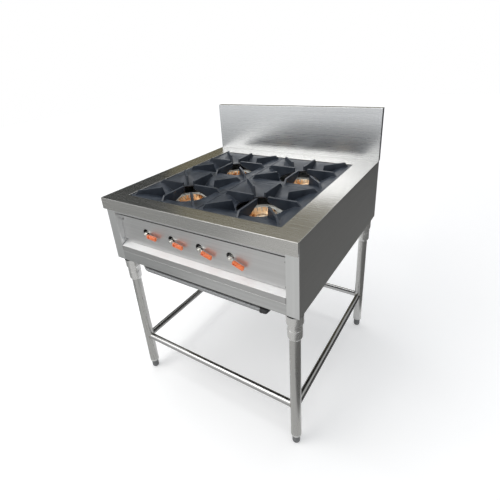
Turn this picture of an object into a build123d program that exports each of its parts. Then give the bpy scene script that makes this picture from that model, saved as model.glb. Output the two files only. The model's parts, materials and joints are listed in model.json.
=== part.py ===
from build123d import *
import math
import os

# Four-burner high-pressure gas range on tubular legs, in millimetres.
# Origin on the floor under the middle of the range, +Z up, front towards -Y.
os.makedirs("parts", exist_ok=True)

# Overall size: four grates in a square well, with a rim on each side of it
grate_size = 316.0
grate_gap = 2.0
well_clearance = 1.5
side_rim = 81.5
front_rim = 63.0
back_rim = 100.0
cooktop_height = 865.0
splash_height = 215.0
splash_depth = 26.0
body_height = 261.0
sheet = 1.5
frame_plate = 3.0
fit_gap = 0.3
overrun = 2.0

well_half = grate_size + grate_gap / 2 + well_clearance
half_width = well_half + side_rim
depth = front_rim + 2 * well_half + back_rim
front_y = -depth / 2
back_y = depth / 2
skin_z = cooktop_height - sheet
body_bottom = cooktop_height - body_height

# Cooktop and its well
grate_sink = 4.0
grate_border_thickness = 6.0
ledge_width = 14.0
apron_height = 44.0
apron_hem = 8.0
cross_bar_width = 28.0
cross_bar_thickness = 6.0

well_y = front_y + front_rim + well_half
burner_pitch = grate_size / 2 + grate_gap / 2
grate_top = cooktop_height - grate_sink
ledge_z = grate_top - grate_border_thickness

# Casing behind the apron
side_inset = 3.0
post_setback = 12.0
post_width = 42.0
panel_recess = 24.0
panel_tab = 16.0
screw_inset = 10.0
rail_height = 17.0
panel_height = 109.0
panel_gap = 34.0
panel_return = 12.5
saddle_flange = 34.0
saddle_tab = 40.0

body_x = half_width - side_inset
post_y = front_y + post_setback
post_inner = body_x - post_width
panel_y = post_y + panel_recess
rail_z = cooktop_height - apron_height + frame_plate - rail_height
screw_x = post_inner - screw_inset

# Base frame and drip tray
base_height = 40.0
base_ring = 72.0
flange_width = 30.0
tray_gap = 1.5
tray_side_gap = 4.0
tray_height = 26.0
tray_back_gap = 62.5
lip_height = 23.5
runner_width = 61.0
runner_guide = 16.0
runner_guide_gap = 3.0

base_top = body_bottom + base_height
panel_bottom = base_top + panel_gap
panel_top = panel_bottom + panel_height
lip_top = base_top + lip_height
tray_wall_x = post_inner - tray_side_gap
runner_guide_x = post_inner + runner_guide_gap

# Legs
leg_side_inset = 37.0
leg_setback = 38.0
leg_back_inset = 36.0
leg_radius = 19.05
leg_wall = 1.5
socket_radius = 29.0
socket_length = 44.0
socket_taper = 10.0
sleeve_radius = 25.5
sleeve_length = 46.0
sleeve_chamfer = 5.0
sleeve_taper = 10.0
sleeve_ring = 15.0
ring_groove = 0.8
socket_cap = 4.0
leg_fit = 0.1
foot_height = 40.0
foot_radius = 14.5
foot_round = 9.0
collar_height = 8.0
insert_length = 35.0
insert_fit = 0.05
stud_radius = 6.0
stretcher_radius = 12.7
stretcher_wall = 1.2
stretcher_z = 185.0

leg_front_y = post_y + leg_setback
leg_back_y = back_y - leg_back_inset
leg_x = half_width - leg_side_inset

# Gas supply
supply_radius = 10.65
supply_wall = 2.6
supply_drop = 48.0
supply_inset = 4.0
supply_run_in = 30.0
supply_bend = 32.0
supply_left_inset = 118.0
riser_inset = 21.0
riser_setback = 110.0
riser_clearance = 2.5
elbow_inset = 144.0
elbow_arm = 14.0
elbow_radius = 13.5
elbow_band = 4.0
elbow_body_radius = 12.5
inlet_hex = 27.0
inlet_hex_length = 12.0
inlet_thread_radius = 10.48
inlet_thread_length = 16.0
inlet_bore = 7.5
hanger_inset = 55.0
hanger_width = 20.0
hanger_wall = 3.0

supply_y = leg_front_y + supply_inset
supply_z = body_bottom - supply_drop
supply_left_x = supply_left_inset - half_width
riser_x = riser_inset - body_x
riser_y = front_y + riser_setback
elbow_x = half_width - elbow_inset
hanger_y = back_y - hanger_inset
inlet_y = back_y - inlet_thread_length - inlet_hex_length

# Valve bar and quarter-turn valves
manifold_radius = 13.45
manifold_wall = 2.6
manifold_drop = 39.0
valve_setback = 24.0
valve_height = 57.0
manifold_riser_run = 76.0
manifold_overhang = 38.5
valve_first_offset = 66.0
valve_last_offset = 7.5
union_hex = 32.0
union_length = 30.0
cap_radius = 16.0
cap_length = 16.0
cap_wall = 4.0
saddle_length = 24.0
valve_bore = 5.0
valve_end_hex = 26.0
valve_end_length = 10.0
valve_reach = 16.0
valve_shell_radius = 15.5
ball_radius = 10.0
bonnet_radius = 9.0
bonnet_length = 22.0
gland_hex = 16.0
gland_length = 5.0
outlet_hex = 18.0
outlet_length = 10.0
nipple_radius = 10.5
panel_hole_radius = 14.0
panel_hole_left = 3.0
panel_hole_up = 4.0
stem_radius = 5.0
stem_nut_hex = 10.0
stem_nut_length = 4.0
stem_end_radius = 3.5
lever_thickness = 3.0
lever_width = 12.0
lever_hub_radius = 9.0
lever_root = 10.0
lever_crank_run = 5.0
lever_crank_out = 8.0
lever_tip = 53.0
lever_droops = (5.0, 10.0, 15.0, 20.0)
grip_start = 16.0
grip_end = 58.0
grip_thickness = 11.0
grip_height = 15.0
grip_round = 4.0
screw_inset_top = 14.0
screw_inset_bottom = 8.5
screw_head_radius = 4.0
screw_head_height = 2.4
screw_radius = 2.0
screw_hole_radius = 2.2
screw_length = 6.0

valve_y = panel_y + valve_setback
valve_z = panel_bottom + valve_height
valve_pitch = (2 * burner_pitch + valve_first_offset - valve_last_offset) / 3
valve_x = [valve_pitch * i - burner_pitch - valve_first_offset for i in range(4)]
saddle_x = [(valve_x[i] + valve_x[i + 1]) / 2 for i in (0, 2)]
gland_y = valve_y - bonnet_length
manifold_z = valve_z - manifold_drop
manifold_left = riser_x + manifold_riser_run
manifold_right = valve_x[3] + manifold_overhang

# Grates
grate_border = 30.0
dish_corner = 24.0
dish_depth = 21.0
hole_radius = 86.0
dish_lip = 4.0
dish_lip_corner = 72.0
fin_thickness = 8.0
fin_rise = 13.0
fin_end_run = 16.0
long_fin_inner = 28.0
long_fin_outer = 134.0
long_fin_tip_depth = 18.0
short_fin_inner = 99.0
short_fin_inner_run = 9.0
short_fin_outer = 188.0
fin_edge = 1.2

# Burners
bowl_radius = 78.0
bowl_wall = 5.0
bowl_base_radius = 52.0
bowl_drop = 53.0
bowl_height = 40.0
bowl_rim = 6.0
seat_radius = 34.0
seat_height = 14.0
throat_radius = 17.0
throat_wall = 9.0
venturi_drop = 50.0
venturi_margin = 49.0
venturi_radius = 20.0
venturi_bell_radius = 27.0
venturi_bell_length = 24.0
venturi_bore = 14.0
venturi_end = 24.0
mouth_plate = 3.0
mouth_bore_radius = 23.0
air_slot_inner = 13.0
air_slot_outer = 21.0
air_slot_angle = 70.0
rail_offset = 48.0
rail_width = 30.0
rail_depth = 16.0
rail_wall = 2.0
rail_drop = 4.0
lug_size = 26.0
head_radius = 52.0
head_floor = 6.0
head_rim_wall = 8.0
head_height = 30.0
head_edge = 3.0
head_hub_radius = 20.0
head_hub_drop = 8.0
head_hub_cone = 5.0
head_spigot = 10.0
head_fit = 0.2
port_count = 18
port_width = 4.0
port_depth = 15.0
shutter_thickness = 1.5
shutter_radius = 27.0
shutter_tab = 8.0
nozzle_radius = 9.0
nozzle_reach = 10.0
injector_hex = 22.0
injector_length = 18.0
injector_stand_off = 4.0
orifice_radius = 0.8
injector_bore = 3.0
orifice_length = 5.0
tube_radius = 5.0
tube_wall = 1.0
tube_bend = 15.0
swan_rise = 26.0
bypass_offset = 46.5

bowl_top_z = cooktop_height - bowl_drop
bowl_shoulder_z = bowl_top_z - bowl_rim
bowl_base_z = bowl_top_z - bowl_height
seat_z = bowl_base_z + seat_height
head_top_z = seat_z + head_height
venturi_z = bowl_base_z - venturi_drop
rail_top_z = bowl_base_z - rail_drop
swan_z = valve_z + valve_reach + outlet_length + swan_rise
venturi_length = burner_pitch - venturi_margin
port_offset = venturi_length + injector_stand_off + injector_length / 2
drop_y = well_y - burner_pitch - port_offset
bypass_x = burner_pitch + bypass_offset


def block(x0, x1, y0, y1, z0, z1):
    centre = Pos((x0 + x1) / 2, (y0 + y1) / 2, (z0 + z1) / 2)
    return centre * Box(abs(x1 - x0), abs(y1 - y0), abs(z1 - z0))


def along(start, end):
    run = Vector(*end) - Vector(*start)
    return Plane(origin=Vector(*start), z_dir=run), run.length


def rod(start, end, radius):
    plane, length = along(start, end)
    base = (Align.CENTER, Align.CENTER, Align.MIN)
    return plane * Cylinder(radius, length, align=base)


def taper(start, end, radius_start, radius_end):
    plane, length = along(start, end)
    base = (Align.CENTER, Align.CENTER, Align.MIN)
    return plane * Cone(radius_start, radius_end, length, align=base)


def hexagon(start, end, across_flats):
    plane, length = along(start, end)
    corner = across_flats / 2 / math.cos(math.radians(30))
    return extrude(plane * RegularPolygon(corner, 6), length)


def straight_tube(start, end, radius, wall):
    return rod(start, end, radius) - rod(start, end, radius - wall)


def bent_tube(points, bend, radius, wall):
    route = FilletPolyline(*points, radius=bend)
    start = Plane(origin=route @ 0, z_dir=route % 0)
    ring = start * (Circle(radius) - Circle(radius - wall))
    return sweep(ring, path=route)


def folded(points, thickness, x0, x1):
    # A bent sheet that lies on the left of the points, taken in their order.
    outer = [Vector(*p) for p in points]
    inner = []
    for i, corner in enumerate(outer):
        before = (corner - outer[i - 1]).normalized() if i > 0 else None
        after = (outer[i + 1] - corner).normalized() if i + 1 < len(outer) else None
        sides = [Vector(-d.Y, d.X) for d in (before, after) if d is not None]
        mid = sum(sides, Vector(0, 0)).normalized()
        inner.append(corner + mid * (thickness / mid.dot(sides[0])))
    face = make_face(Polyline(*outer, *reversed(inner), close=True))
    side = Plane(origin=(x0, 0, 0), x_dir=(0, 1, 0), z_dir=(1, 0, 0))
    return extrude(side * face, x1 - x0)


def write(name, *shapes):
    found = [solid for shape in shapes for solid in shape.solids()]
    shape = found[0] if len(found) == 1 else Compound(children=found)
    shape.label = name
    export_step(shape, f"parts/{name}.step")


# Cooktop sheet with its apron, well wall and the ledge under the grates
def top_frame():
    skin = block(-half_width, half_width, front_y, back_y - sheet, skin_z, cooktop_height)
    apron_z = cooktop_height - apron_height
    apron = block(-half_width, half_width, front_y, front_y + sheet, apron_z, skin_z)
    hem = block(-half_width, half_width, front_y + sheet, front_y + apron_hem,
                apron_z, apron_z + sheet)
    wall_x = well_half + sheet
    ledge_low = ledge_z - sheet
    well = block(-wall_x, wall_x, well_y - wall_x, well_y + wall_x, ledge_low, skin_z)
    cut = block(-well_half, well_half, well_y - well_half, well_y + well_half,
                ledge_z, cooktop_height + overrun)
    inner = well_half - ledge_width
    through = block(-inner, inner, well_y - inner, well_y + inner,
                    ledge_low - overrun, cooktop_height)
    return skin + apron + hem + well - cut - through


# Cross of flat bars that carries the grates where they meet
def grate_cross():
    inner = well_half - ledge_width
    lap = well_half - sheet
    low = ledge_z - sheet - cross_bar_thickness
    half = cross_bar_width / 2
    shape = block(-lap, lap, well_y - half, well_y + half, low, ledge_z - sheet)
    shape += block(-half, half, well_y - lap, well_y + lap, low, ledge_z - sheet)
    shape += block(-inner, inner, well_y - half, well_y + half, ledge_z - sheet, ledge_z)
    shape += block(-half, half, well_y - inner, well_y + inner, ledge_z - sheet, ledge_z)
    return shape


# Splashback: front sheet, top fold and two end returns
def backsplash():
    top = cooktop_height + splash_height
    splash_y = back_y - splash_depth
    outer = block(-half_width, half_width, splash_y, back_y, cooktop_height, top)
    hollow = block(-half_width + sheet, half_width - sheet, splash_y + sheet,
                   back_y + overrun, cooktop_height - overrun, top - sheet)
    foot = block(-half_width + sheet, half_width - sheet, splash_y + sheet,
                 back_y - sheet, cooktop_height, cooktop_height + sheet)
    return outer - hollow + foot


def back_panel():
    lower = block(-body_x, body_x, back_y - sheet, back_y, body_bottom, cooktop_height)
    upper_x = half_width - sheet
    top = cooktop_height + splash_height - sheet
    return lower + block(-upper_x, upper_x, back_y - sheet, back_y, cooktop_height, top)


def side_panel(side):
    return block(side * (body_x - sheet), side * body_x, post_y + sheet,
                 back_y - sheet, body_bottom, skin_z)


# Corner post: face, return beside the recess and the tab behind the control panel
def front_post(side):
    return_z = body_bottom + frame_plate
    face = block(side * post_inner, side * body_x, post_y, post_y + sheet,
                 body_bottom, skin_z)
    leg = block(side * post_inner, side * (post_inner + sheet), post_y + sheet,
                panel_y + 2 * sheet, return_z, skin_z)
    tab = block(side * (post_inner - panel_tab), side * post_inner, panel_y + sheet,
                panel_y + 2 * sheet, panel_bottom + overrun, panel_top)
    shape = face + leg + tab
    for x, z in screw_places():
        if x * side > 0:
            shape -= rod((x, panel_y - overrun, z), (x, panel_y + screw_length, z),
                         screw_hole_radius)
    return shape


def front_rail():
    web = block(-post_inner, post_inner, post_y, post_y + sheet, rail_z, skin_z)
    shelf = block(-post_inner, post_inner, post_y + sheet, panel_y, rail_z, rail_z + sheet)
    return web + shelf


def screw_places():
    rows = (panel_top - screw_inset_top, panel_bottom + screw_inset_bottom)
    return [(side * screw_x, z) for side in (-1, 1) for z in rows]


def control_panel():
    edge = post_inner - fit_gap
    shape = block(-edge, edge, panel_y, panel_y + sheet, panel_bottom, panel_top)
    inner = post_inner - panel_tab - fit_gap
    shape += block(-inner, inner, panel_y + sheet, panel_y + panel_return,
                   panel_top - sheet, panel_top)
    for x in saddle_x:
        shape += block(x - saddle_tab / 2, x + saddle_tab / 2, panel_y + sheet,
                       panel_y + saddle_flange, panel_bottom, panel_bottom + sheet)
    hole_z = valve_z + panel_hole_up
    for x in valve_x:
        hole_x = x - panel_hole_left
        shape -= rod((hole_x, panel_y - overrun, hole_z),
                     (hole_x, panel_y + sheet + overrun, hole_z), panel_hole_radius)
    for x, z in screw_places():
        shape -= rod((x, panel_y - overrun, z), (x, panel_y + sheet + overrun, z),
                     screw_hole_radius)
    return shape


def panel_screw(x, z):
    head = rod((x, panel_y, z), (x, panel_y - screw_head_height, z), screw_head_radius)
    shank = rod((x, panel_y, z), (x, panel_y + screw_length, z), screw_radius)
    slot = block(x - screw_head_radius, x + screw_head_radius,
                 panel_y - screw_head_height, panel_y - screw_head_height / 2,
                 z - screw_radius / 4, z + screw_radius / 4)
    return head + shank - slot


# Welded base frame: plate ring under the body, front face and side channels
def base_frame():
    side_x = body_x - sheet
    start_y = post_y + sheet
    end_y = back_y - sheet
    inner_x = side_x - base_ring
    ring_top = body_bottom + frame_plate
    shape = block(-side_x, side_x, start_y, end_y, body_bottom, ring_top)
    shape -= block(-inner_x, inner_x, start_y + base_ring, end_y - base_ring,
                   body_bottom - overrun, ring_top + overrun)
    shape += block(-post_inner, post_inner, post_y, start_y, body_bottom, base_top)
    top_low = base_top - sheet
    shape += block(-post_inner, post_inner, start_y, start_y + flange_width, top_low, base_top)
    for side in (-1, 1):
        channel_y = panel_y + frame_plate
        shape += block(side * (side_x - sheet), side * side_x, channel_y, end_y,
                       ring_top, base_top)
        shape += block(side * (side_x - flange_width), side * side_x, channel_y, end_y,
                       top_low, base_top)
    shape += block(-side_x, side_x, end_y - sheet, end_y, ring_top, base_top)
    shape += block(-side_x, side_x, end_y - flange_width, end_y, top_low, base_top)
    return shape - riser_hole()


def riser_hole():
    return rod((riser_x, riser_y, body_bottom - overrun),
               (riser_x, riser_y, base_top + runner_guide), supply_radius + riser_clearance)


# Runner plate with an upright guide beside the drip tray
def tray_runner(side):
    outer = body_x - 2 * sheet
    start_y = panel_y + frame_plate
    end_y = back_y - 2 * sheet
    plate = block(side * (outer - runner_width), side * outer, start_y, end_y,
                  base_top, base_top + sheet)
    guide = block(side * runner_guide_x, side * (runner_guide_x + sheet), start_y, end_y,
                  base_top + sheet, base_top + runner_guide)
    return plate + guide - riser_hole()


# Drip tray: sloped ledge and pull lip in front, shallow pan behind
def drip_tray():
    edge = post_inner - tray_gap
    floor = base_top + sheet + fit_gap
    top = panel_bottom - fit_gap
    outline = [
        (post_y + sheet, base_top + fit_gap),
        (post_y + sheet, lip_top - sheet),
        (panel_y, top - 2 * sheet),
        (panel_y, floor),
    ]
    front = folded(outline, sheet, -edge, edge)
    back = back_y - tray_back_gap
    pan = block(-tray_wall_x, tray_wall_x, panel_y, back, floor, floor + tray_height)
    pan -= block(-tray_wall_x + sheet, tray_wall_x - sheet, panel_y + sheet, back - sheet,
                 floor + sheet, floor + tray_height + overrun)
    return front + pan


# Leg socket: thick sleeve, thinner sleeve with a groove, both drawn in at the end
def leg_socket(x, y):
    wide_z = body_bottom - socket_length
    step_z = wide_z - socket_taper
    low_z = step_z - sleeve_length
    end_z = low_z - sleeve_taper
    shape = rod((x, y, wide_z), (x, y, body_bottom), socket_radius)
    shape += taper((x, y, step_z), (x, y, wide_z), sleeve_radius, socket_radius)
    shape += rod((x, y, low_z), (x, y, step_z), sleeve_radius)
    shape += taper((x, y, end_z), (x, y, low_z), sleeve_radius - sleeve_chamfer, sleeve_radius)
    groove_z = step_z - sleeve_ring
    shape -= straight_tube((x, y, groove_z - ring_groove), (x, y, groove_z + ring_groove),
                           sleeve_radius + overrun, overrun + ring_groove)
    return shape - rod((x, y, end_z - overrun), (x, y, body_bottom - socket_cap),
                       leg_radius + leg_fit)


def leg(x, y):
    low = foot_height + fit_gap + collar_height
    return straight_tube((x, y, low), (x, y, body_bottom - socket_cap), leg_radius, leg_wall)


def foot_insert(x, y):
    low = foot_height + fit_gap
    flange_top = low + collar_height
    inner = leg_radius - leg_wall - insert_fit
    shape = rod((x, y, low), (x, y, flange_top), leg_radius)
    shape += rod((x, y, flange_top), (x, y, flange_top + insert_length), inner)
    return shape - rod((x, y, low - overrun), (x, y, flange_top + insert_length + overrun),
                       stud_radius + fit_gap)


def foot(x, y):
    shape = rod((x, y, 0), (x, y, foot_height), foot_radius)
    shape = fillet(shape.edges().sort_by(Axis.Z)[0], foot_round)
    return shape + rod((x, y, foot_height), (x, y, foot_height + insert_length), stud_radius)


# Cross tube between two legs, its ends cut to the legs' round faces
def stretcher(start, end):
    first = (*start, stretcher_z)
    last = (*end, stretcher_z)
    shape = straight_tube(first, last, stretcher_radius, stretcher_wall)
    for x, y in (start, end):
        shape -= rod((x, y, stretcher_z - leg_radius), (x, y, stretcher_z + leg_radius),
                     leg_radius)
    return shape.solids().sort_by(SortBy.VOLUME)[-1]


def supply_pipe_front():
    points = [
        (elbow_x - elbow_arm, supply_y, supply_z),
        (supply_left_x, supply_y, supply_z),
        (riser_x, riser_y, supply_z),
        (riser_x, riser_y, manifold_z),
        (manifold_left - supply_run_in, valve_y, manifold_z),
        (manifold_left, valve_y, manifold_z),
    ]
    return bent_tube(points, supply_bend, supply_radius, supply_wall)


def supply_pipe_rear():
    return straight_tube((elbow_x, supply_y + elbow_arm, supply_z), (elbow_x, inlet_y, supply_z),
                         supply_radius, supply_wall)


def supply_elbow():
    corner = (elbow_x, supply_y, supply_z)
    west = (elbow_x - elbow_arm, supply_y, supply_z)
    north = (elbow_x, supply_y + elbow_arm, supply_z)
    shape = rod(west, corner, elbow_body_radius) + rod(corner, north, elbow_body_radius)
    shape += Pos(*corner) * Sphere(elbow_body_radius)
    shape += rod(west, (elbow_x - elbow_arm + elbow_band, supply_y, supply_z), elbow_radius)
    shape += rod(north, (elbow_x, supply_y + elbow_arm - elbow_band, supply_z), elbow_radius)
    bore = supply_radius - supply_wall
    shape -= rod(west, corner, bore) + rod(corner, north, bore) + Pos(*corner) * Sphere(bore)
    return shape


def pipe_union():
    start = manifold_left - union_length / 2
    end = manifold_left + union_length / 2
    shape = hexagon((start, valve_y, manifold_z), (end, valve_y, manifold_z), union_hex)
    shape -= rod((start, valve_y, manifold_z), (manifold_left, valve_y, manifold_z),
                 supply_radius)
    return shape - rod((manifold_left, valve_y, manifold_z), (end, valve_y, manifold_z),
                       manifold_radius)


def manifold_cap():
    start = manifold_right - cap_length + cap_wall
    end = manifold_right + cap_wall
    shape = rod((start, valve_y, manifold_z), (end, valve_y, manifold_z), cap_radius)
    return shape - rod((start, valve_y, manifold_z), (manifold_right, valve_y, manifold_z),
                       manifold_radius)


def gas_inlet():
    hex_end = inlet_y + inlet_hex_length
    shape = hexagon((elbow_x, inlet_y, supply_z), (elbow_x, hex_end, supply_z), inlet_hex)
    shape += rod((elbow_x, hex_end, supply_z), (elbow_x, back_y, supply_z),
                 inlet_thread_radius)
    return shape - rod((elbow_x, inlet_y, supply_z), (elbow_x, back_y, supply_z), inlet_bore)


# Strap that hangs the rear pipe from the base frame
def pipe_hanger():
    start = hanger_y - hanger_width / 2
    end = hanger_y + hanger_width / 2
    outer = supply_radius + fit_gap + hanger_wall
    shape = rod((elbow_x, start, supply_z), (elbow_x, end, supply_z), outer)
    shape += block(elbow_x - hanger_wall / 2, elbow_x + hanger_wall / 2, start, end,
                   supply_z, body_bottom)
    shape += block(elbow_x - hanger_width, elbow_x + hanger_width, start, end,
                   body_bottom - hanger_wall, body_bottom)
    return shape - rod((elbow_x, start - overrun, supply_z), (elbow_x, end + overrun, supply_z),
                       supply_radius + fit_gap)


# Valve bar with a nipple for each valve and two saddles on the panel flange
def gas_manifold():
    left = (manifold_left, valve_y, manifold_z)
    right = (manifold_right, valve_y, manifold_z)
    shape = rod(left, right, manifold_radius)
    for x in saddle_x:
        shape += block(x - saddle_length / 2, x + saddle_length / 2,
                       valve_y - manifold_radius / 2, panel_y + saddle_flange,
                       panel_bottom + sheet, manifold_z)
    for x in valve_x:
        shape += rod((x, valve_y, manifold_z), (x, valve_y, valve_z - valve_reach),
                     nipple_radius)
    shape -= rod(left, right, manifold_radius - manifold_wall)
    for x in valve_x:
        shape -= rod((x, valve_y, manifold_z), (x, valve_y, valve_z), valve_bore)
    return shape


# Ball valve: two hexagon ends, round shell, bonnet and gland, outlet nut on top
def valve_body(x):
    low = valve_z - valve_reach
    high = valve_z + valve_reach
    shape = Pos(x, valve_y, valve_z) * Sphere(valve_shell_radius)
    shape += rod((x, valve_y, low), (x, valve_y, high), valve_shell_radius - manifold_wall)
    shape += hexagon((x, valve_y, low), (x, valve_y, low + valve_end_length), valve_end_hex)
    shape += hexagon((x, valve_y, high - valve_end_length), (x, valve_y, high), valve_end_hex)
    shape += hexagon((x, valve_y, high), (x, valve_y, high + outlet_length), outlet_hex)
    shape += rod((x, valve_y, valve_z), (x, gland_y, valve_z), bonnet_radius)
    shape += hexagon((x, gland_y, valve_z), (x, gland_y - gland_length, valve_z), gland_hex)
    shape -= Pos(x, valve_y, valve_z) * Sphere(ball_radius + fit_gap)
    shape -= rod((x, valve_y, low), (x, valve_y, high + outlet_length), valve_bore)
    return shape - rod((x, valve_y, valve_z), (x, gland_y - gland_length, valve_z),
                       stem_radius + fit_gap)


# Ball, stem and cranked lever arm, which turn together; each hangs a little below level
def valve_lever(x, droop):
    hub_y = gland_y - gland_length - fit_gap
    face_y = hub_y - lever_thickness
    ball = Pos(x, valve_y, valve_z) * Sphere(ball_radius)
    ball -= rod((x - ball_radius, valve_y, valve_z), (x + ball_radius, valve_y, valve_z),
                valve_bore)
    stem = rod((x, valve_y - ball_radius + fit_gap, valve_z), (x, face_y, valve_z), stem_radius)
    hub = rod((x, hub_y, valve_z), (x, face_y, valve_z), lever_hub_radius)
    nut = hexagon((x, face_y, valve_z), (x, face_y - stem_nut_length, valve_z), stem_nut_hex)
    nut += rod((x, face_y, valve_z), (x, face_y - 2 * stem_nut_length, valve_z),
               stem_end_radius)
    arm = lever_arm(x, face_y)
    turned = Rot(0, droop, 0) * (Pos(-x, 0, -valve_z) * arm)
    return ball + stem + hub + nut + Pos(x, 0, valve_z) * turned


def lever_arm(x, face_y):
    crank = lever_root + lever_crank_run
    low = valve_z - lever_width / 2
    high = valve_z + lever_width / 2
    root = block(x, x + lever_root, face_y, face_y + lever_thickness, low, high)
    out_y = face_y - lever_crank_out
    slope = Polyline(
        (x + lever_root, face_y), (x + lever_root, face_y + lever_thickness),
        (x + crank, out_y + lever_thickness), (x + crank, out_y), close=True)
    ramp = extrude(Plane(origin=(0, 0, low)) * make_face(slope), high - low)
    blade = block(x + crank, x + lever_tip, out_y, out_y + lever_thickness, low, high)
    return root + ramp + blade


def lever_grip(x, droop):
    face_y = gland_y - gland_length - fit_gap - lever_thickness
    out_y = face_y - lever_crank_out
    mid_y = out_y + lever_thickness / 2
    shape = block(x + grip_start, x + grip_end, mid_y - grip_thickness / 2,
                  mid_y + grip_thickness / 2, valve_z - grip_height / 2,
                  valve_z + grip_height / 2)
    shape = fillet(shape.edges().filter_by(Axis.X), grip_round)
    shape = fillet(shape.faces().sort_by(Axis.X)[-1].edges(), grip_round / 2)
    shape -= block(x, x + lever_tip, out_y, out_y + lever_thickness,
                   valve_z - lever_width / 2, valve_z + lever_width / 2)
    return Pos(x, 0, valve_z) * (Rot(0, droop, 0) * (Pos(-x, 0, -valve_z) * shape))


def on_plane(z, sketch):
    return Plane(origin=(0, 0, z)) * sketch


# Cast grate: flat border, sunk dish with a round hole, long and short fins
def grate(x, y):
    half = grate_size / 2
    dish_half = half - grate_border
    lip_half = hole_radius + dish_lip
    wall = grate_border_thickness
    dish_low = grate_top - dish_depth
    shape = block(-half, half, -half, half, ledge_z, grate_top)
    shape += loft([
        on_plane(ledge_z, RectangleRounded(2 * (dish_half + wall), 2 * (dish_half + wall),
                                           dish_corner + wall)),
        on_plane(dish_low - wall, RectangleRounded(2 * lip_half + wall, 2 * lip_half + wall,
                                                   dish_lip_corner))])
    hollow = loft([
        on_plane(grate_top, RectangleRounded(2 * dish_half, 2 * dish_half, dish_corner)),
        on_plane(dish_low, RectangleRounded(2 * lip_half, 2 * lip_half, dish_lip_corner))])
    shape -= hollow
    shape -= rod((0, 0, dish_low - wall - overrun), (0, 0, grate_top), hole_radius)
    for turn in range(4):
        shape += Rot(0, 0, 90 * turn) * long_fin()
        shape += Rot(0, 0, 90 * turn + 45) * short_fin()
    shape = shape.solids().sort_by(SortBy.VOLUME)[-1]
    return Pos(x, y, 0) * shape


def fin(outline):
    face = Plane.XZ * make_face(Polyline(*outline, close=True))
    shape = extrude(face, fin_thickness / 2, both=True)
    ridge = shape.faces().sort_by(Axis.Z)[-1].edges().filter_by(Axis.X)
    return fillet(ridge, fin_edge)


def long_fin():
    top = cooktop_height + fin_rise
    dish_low = grate_top - dish_depth
    dish_half = grate_size / 2 - grate_border
    seat = grate_border_thickness / 2
    return fin([
        (long_fin_inner, top),
        (long_fin_outer, top),
        (long_fin_outer + fin_end_run, grate_top - seat),
        (dish_half, grate_top - seat),
        (hole_radius + dish_lip, dish_low - seat),
        (hole_radius, dish_low - seat),
        (long_fin_inner, top - long_fin_tip_depth),
    ])


def short_fin():
    top = cooktop_height + fin_rise
    dish_low = grate_top - dish_depth
    dish_half = grate_size / 2 - grate_border
    diagonal = math.sqrt(2)
    corner = dish_half * diagonal - dish_corner * (diagonal - 1)
    seat = grate_border_thickness / 2
    return fin([
        (short_fin_inner, top),
        (short_fin_outer, top),
        (short_fin_outer + fin_end_run, grate_top - seat),
        (corner, grate_top - seat),
        (short_fin_inner, dish_low - seat),
        (short_fin_inner - short_fin_inner_run, dish_low - seat),
    ])


def revolved(x, y, outline):
    face = Plane.XZ * make_face(Polyline(*outline, close=True))
    return Pos(x, y, 0) * revolve(face, Axis.Z)


def air_slots(mouth, low, high):
    # Two opposite ring sectors, cut between y = low and y = high round the mouth.
    x, z = mouth
    ring = rod((x, low, z), (x, high, z), air_slot_outer)
    ring -= rod((x, low, z), (x, high, z), air_slot_inner)
    reach = 2 * venturi_bell_radius
    half = math.radians(air_slot_angle / 2)
    cut = None
    for side in (-1, 1):
        wedge = Polyline(
            (0, 0), (side * reach, reach * math.tan(half)),
            (side * reach, -reach * math.tan(half)), close=True)
        plane = Plane(origin=(x, low, z), x_dir=(1, 0, 0), z_dir=(0, 1, 0))
        sector = ring & extrude(plane * make_face(wedge), high - low)
        cut = sector if cut is None else cut + sector
    return cut


# Cast burner body: bowl, seat for the head, throat and mixing tube
def burner_body(x, y):
    rim = bowl_radius - bowl_wall
    floor = bowl_base_z + bowl_wall
    mouth_y = y - venturi_length
    shape = revolved(x, y, [(0, bowl_base_z), (bowl_base_radius, bowl_base_z),
                            (bowl_radius, bowl_shoulder_z), (bowl_radius, bowl_top_z),
                            (0, bowl_top_z)])
    for side in (-1, 1):
        shape += block(x - lug_size / 2, x + lug_size / 2,
                       y + side * rail_offset - lug_size / 2,
                       y + side * rail_offset + lug_size / 2, rail_top_z,
                       bowl_base_z + bowl_wall * 2)
    shape -= revolved(x, y, [(0, floor), (bowl_base_radius - bowl_wall / 2, floor),
                             (rim, bowl_shoulder_z + bowl_wall / 2),
                             (rim, bowl_top_z + overrun), (0, bowl_top_z + overrun)])
    shape += rod((x, y, bowl_base_z), (x, y, seat_z), seat_radius)
    shape += rod((x, y, venturi_z), (x, y, bowl_base_z), throat_radius + throat_wall)
    shape += rod((x, y + venturi_end, venturi_z), (x, mouth_y, venturi_z), venturi_radius)
    shape += taper((x, mouth_y + venturi_bell_length, venturi_z), (x, mouth_y, venturi_z),
                   venturi_radius, venturi_bell_radius)
    shape -= rod((x, y, venturi_z), (x, y, seat_z + overrun), throat_radius)
    inner_y = mouth_y + mouth_plate
    shape -= rod((x, y, venturi_z), (x, inner_y, venturi_z), venturi_bore)
    shape -= taper((x, mouth_y + 2 * venturi_bell_length, venturi_z), (x, inner_y, venturi_z),
                   venturi_bore, mouth_bore_radius)
    shape -= rod((x, mouth_y - overrun, venturi_z), (x, inner_y, venturi_z),
                 nozzle_radius + fit_gap)
    return shape - air_slots((x, venturi_z), mouth_y - overrun, inner_y)


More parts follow.
